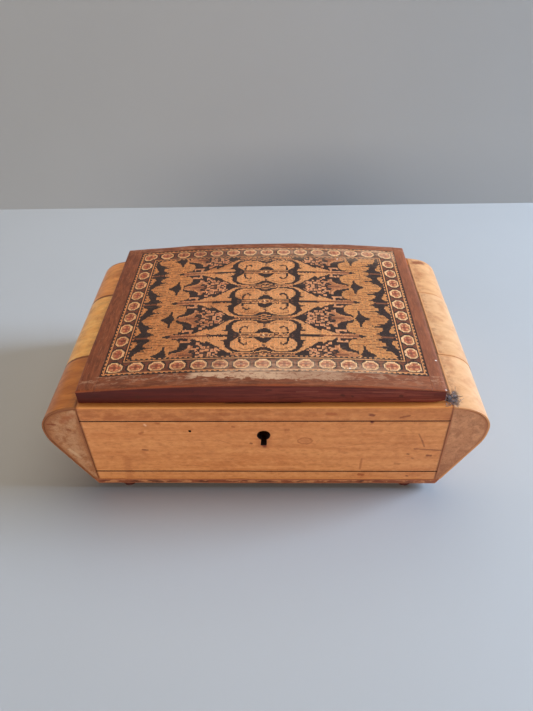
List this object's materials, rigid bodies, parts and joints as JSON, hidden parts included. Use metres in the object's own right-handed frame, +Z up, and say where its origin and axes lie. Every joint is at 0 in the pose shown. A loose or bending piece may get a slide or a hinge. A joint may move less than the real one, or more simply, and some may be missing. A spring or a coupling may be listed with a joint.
{
  "type": "wooden puzzle box",
  "caption": "Low wooden box with wedge-shaped ends, a domed mosaic lid on rear hinges, a box lock, a sliding end over a key pocket and a hidden drawer.",
  "frame": {"origin": "centre of the whole object's footprint, on the plane its feet stand on", "axes": "+X along the box to the right as seen from the keyhole side, -Y towards the front, +Z up"},
  "size_m": [0.2198, 0.1376, 0.0747],
  "materials": {
    "panel_wood": "worn wax polish",
    "end_wood": "dry end grain",
    "end_veneer": "polished",
    "case_wood": "bare, darkened",
    "lid_wood": "old polish",
    "margin_veneer": "worn polish",
    "base_wood": "worn stain",
    "dark_line": "stained black",
    "mosaic": "polished end grain",
    "drawer_wood": "bare",
    "lining_paper": "faded paper",
    "brass": "tarnished",
    "steel": "dark, aged"
  },
  "bodies": {
    "case": {"front_panel": "panel_wood", "back_panel": "panel_wood", "left_end_wall": "case_wood", "right_end_wall": "case_wood", "base_board": "base_wood", "front_upper_line": "dark_line", "front_lower_line": "dark_line", "false_floor": "case_wood", "floor_lining": "lining_paper", "drawer_guide_front": "case_wood", "drawer_guide_rear": "case_wood", "left_front_block": "end_wood", "left_front_veneer": "end_veneer", "left_rear_block": "end_wood", "left_rear_veneer": "end_veneer", "right_front_block": "end_wood", "right_front_veneer": "end_veneer", "right_rear_block": "end_wood", "right_rear_veneer": "end_veneer", "left_hinge_lower_leaf": "brass", "left_hinge_pin": "steel", "left_lower_screw_1": "brass", "left_lower_screw_2": "brass", "right_hinge_lower_leaf": "brass", "right_hinge_pin": "steel", "right_lower_screw_1": "brass", "right_lower_screw_2": "brass", "lock_case": "brass", "lock_cap": "brass", "key": "steel", "foot_front_left": "base_wood", "foot_front_right": "base_wood", "foot_rear_left": "base_wood", "foot_rear_right": "base_wood"},
    "lid": {"lid_board": "lid_wood", "mosaic_field": "mosaic", "mosaic_border_front": "mosaic", "mosaic_border_rear": "mosaic", "mosaic_border_left": "mosaic", "mosaic_border_right": "mosaic", "margin_front": "margin_veneer", "margin_rear": "margin_veneer", "margin_left": "margin_veneer", "margin_right": "margin_veneer", "link_plate": "brass", "left_hinge_upper_leaf": "brass", "left_upper_screw_1": "brass", "left_upper_screw_2": "brass", "right_hinge_upper_leaf": "brass", "right_upper_screw_1": "brass", "right_upper_screw_2": "brass"},
    "lock_bolt": {"lock_bolt": "steel"},
    "left_slide": {"left_middle_block": "end_wood", "left_middle_veneer": "end_veneer"},
    "secret_drawer": {"right_middle_block": "end_wood", "right_middle_veneer": "end_veneer", "drawer_side_front": "drawer_wood", "drawer_side_rear": "drawer_wood", "drawer_back": "drawer_wood", "drawer_bottom": "drawer_wood"}
  },
  "joints": [
    {"name": "lid_hinge", "type": "hinge", "parent": "case", "child": "lid", "pos_m": [0, 0.0671, 0.0625], "axis": [-1, 0, 0], "range_deg": [0, 98]},
    {"name": "bolt_throw", "type": "slide", "parent": "case", "child": "lock_bolt", "axis": [1, 0, 0], "range_m": [0, 0.004]},
    {"name": "end_slide", "type": "slide", "parent": "case", "child": "left_slide", "axis": [0, 0, 1], "range_m": [0, 0.029]},
    {"name": "drawer_slide", "type": "slide", "parent": "case", "child": "secret_drawer", "axis": [1, 0, 0], "range_m": [0, 0.08]}
  ]
}
